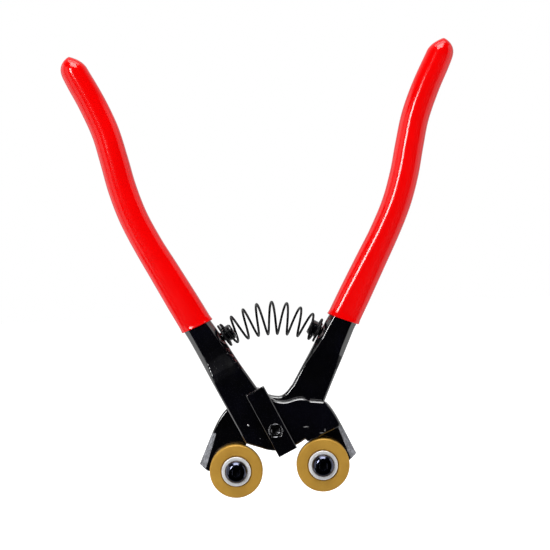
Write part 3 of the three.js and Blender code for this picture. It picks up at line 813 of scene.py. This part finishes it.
def return_spring(node="return_spring"):
    """The wire on both studs; a share of the handles' closing is worked out for each ring of it but
    not applied.
    """
    shares = np.linspace(0, 1, CURVE_POINTS)
    line = [bow(s)[0] for s in shares]
    length = np.cumsum([0.0] + [(b - a).length for a, b in zip(line, line[1:])])
    total = length[-1]
    dead, active, pitch = SPRING["dead"], SPRING["active"], SPRING["dead_pitch"]
    turns = 2 * dead + active
    packed = SPRING["start"] + dead * pitch
    steps, sides = int(turns * WIRE_STEPS), WIRE_SIDES

    def inner_angle(live):
        """Angle about the pivot of the spring's inner side, a share of the way along."""
        place = packed + (total - 2 * packed) * live
        at, along = bow(float(np.interp(place, length, shares)))
        radius = coil_radius(live)
        return math.atan2(at.x + along.y * radius, at.y - along.x * radius)

    first = inner_angle(0.0)
    shut_spread = inner_angle(1.0) - first - CLOSING
    path, follow = [], []
    for k in range(steps + 1):
        turn = turns * k / steps
        from_end = min(turn, turns - turn)
        live = min(max((turn - dead) / active, 0.0), 1.0)
        place = packed + (total - 2 * packed) * live
        if from_end < dead:
            near = SPRING["start"] + from_end * pitch
            place = near if turn < dead else total - near
        radius = coil_radius(live)
        at, along = bow(float(np.interp(place, length, shares)))
        up = radius * math.cos(2 * math.pi * turn)
        path.append(Vector((at.x - along.y * up,
                            -radius * math.sin(2 * math.pi * turn) - SCREW_BACK,
                            at.y + along.x * up)))
        follow.append((inner_angle(live) - first - live * shut_spread) / CLOSING)
    vertices, faces = [], []
    normal, wire = Vector((0, 1, 0)), SPRING["wire"] + WIRE_EXTRA
    for k, at in enumerate(path):
        along = (path[min(k + 1, steps)] - path[max(k - 1, 0)]).normalized()
        normal = (normal - along * normal.dot(along)).normalized()
        across = along.cross(normal)
        for i in range(sides):
            angle = 2 * math.pi * i / sides
            vertices.append(at + wire * (normal * math.cos(angle) + across * math.sin(angle)))
    for k in range(steps):
        for i in range(sides):
            j = (i + 1) % sides
            faces.append((k * sides + i, k * sides + j, (k + 1) * sides + j, (k + 1) * sides + i))
    faces.append(tuple(range(sides)))
    faces.append(tuple(range(steps * sides, (steps + 1) * sides)))
    piece = new_object(node + "_wire", vertices, faces, spring_wire(), 60)
    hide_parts(node)
    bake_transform(piece)
    # One share of the handles' closing for each ring of the wire, worked out here but not applied to
    # the wire.
    shares = np.repeat(np.clip(np.array(follow, np.float32), 0, 1), sides)


return_spring()

# ---------------------------------------------------------------- camera, lights, stage
RING_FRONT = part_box("pivot_screw")[0].y      # front end of the pivot screw
PHOTO_DISTANCE = 0.70
FIELD_WIDTH = 226.05 * MM                    # seen at the pivot screw's front end
ROLL = math.radians(2.9)
AIM = (3.0 * MM, 64.0 * MM)                  # x and z in the middle of the picture
SENSOR_WIDTH = 36

camera = bpy.data.cameras.new("photo_camera")
camera.sensor_width = SENSOR_WIDTH
camera.lens = SENSOR_WIDTH * PHOTO_DISTANCE / FIELD_WIDTH
camera.clip_start, camera.clip_end = 0.02, 20
eye = bpy.data.objects.new("photo_camera", camera)
SCENE.collection.objects.link(eye)
eye.matrix_world = (Matrix.Translation((AIM[0], RING_FRONT - PHOTO_DISTANCE, AIM[1]))
                    @ Matrix.Rotation(ROLL, 4, "Y") @ Matrix.Rotation(math.pi / 2, 4, "X"))
SCENE.camera = eye


def panel(name, place, size, energy, target=(0, 0, 0.05)):
    """A soft rectangular light facing the tool; metres and watts."""
    light = bpy.data.lights.new(name, "AREA")
    light.shape = "RECTANGLE"
    light.size, light.size_y = size
    light.energy = energy
    lamp = bpy.data.objects.new(name, light)
    SCENE.collection.objects.link(lamp)
    lamp.location = place
    aim = Vector(target) - Vector(place)
    lamp.rotation_euler = aim.to_track_quat("-Z", "Y").to_euler()


panel("top_key", (0.0, -0.50, 0.92), (0.60, 0.60), 9.5)
panel("front_strip", (-0.41, -0.76, 0.32), (0.15, 0.30), 3.2, target=(0, 0, 0.09))
panel("left_key", (-0.87, -0.46, 0.14), (0.50, 0.90), 1.1)
panel("left_side", (-0.98, 0.25, 0.0), (0.8, 1.6), 3.4)
panel("right_side", (0.95, 0.0, 0.0), (0.8, 1.6), 3.0)
panel("overhead", (0.0, -0.02, 1.0), (0.9, 0.4), 3.2)


def white_room():
    """White where the camera looks past the tool, a pale glow behind it, dark in front."""
    world = bpy.data.worlds.new("studio")
    SCENE.world = world
    world.use_nodes = True
    tree = world.node_tree
    glow = tree.nodes["Background"]
    glow.inputs["Color"].default_value = (1, 1, 1, 1)
    split = tree.nodes.new("ShaderNodeSeparateXYZ")
    tree.links.new(tree.nodes.new("ShaderNodeTexCoord").outputs["Generated"],
                   split.inputs["Vector"])
    level = tree.nodes.new("ShaderNodeMapRange")
    level.interpolation_type = "SMOOTHSTEP"
    for name, value in (("From Min", -0.3), ("From Max", 0.75), ("To Min", 0.003),
                        ("To Max", 0.6)):
        level.inputs[name].default_value = value
    tree.links.new(split.outputs["Y"], level.inputs["Value"])
    tree.links.new(level.outputs["Result"], glow.inputs["Strength"])
    backdrop = tree.nodes.new("ShaderNodeBackground")
    backdrop.inputs["Color"].default_value = (1, 1, 1, 1)
    choose = tree.nodes.new("ShaderNodeMixShader")
    rays = tree.nodes.new("ShaderNodeLightPath")
    tree.links.new(rays.outputs["Is Camera Ray"], choose.inputs[0])
    tree.links.new(glow.outputs[0], choose.inputs[1])
    tree.links.new(backdrop.outputs[0], choose.inputs[2])
    tree.links.new(choose.outputs[0], tree.nodes["World Output"].inputs["Surface"])


white_room()
SCENE.view_settings.view_transform = "Standard"
SCENE.view_settings.look = "None"


def floor():
    """A pale floor, nearly white, just below the lowest place that a wheel swings to."""
    wheel, (low, high) = middle("left_wheel"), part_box("left_wheel")
    level = -math.hypot(wheel.x, wheel.z) - (high.z - low.z) / 2 - 0.4 * MM
    half = 4.0
    corners = [(x * half, y * half, level) for x, y in ((-1, -1), (1, -1), (1, 1), (-1, 1))]
    g = Graph("pale_floor")
    tone = g.mix(g.noise(3, 3, 0.5), (0.42, 0.42, 0.42, 1), (0.45, 0.45, 0.45, 1))
    g.set(roughness=0.9, specular_ior_level=0.1, emission_strength=0.95)
    g.shader.inputs["Emission Color"].default_value = (1, 1, 1, 1)
    piece = new_object("floor", corners, [(0, 1, 2, 3)], g.link(base_color=tone))
    piece.visible_glossy = False        # no floor mirrored in the enamel's front faces


floor()
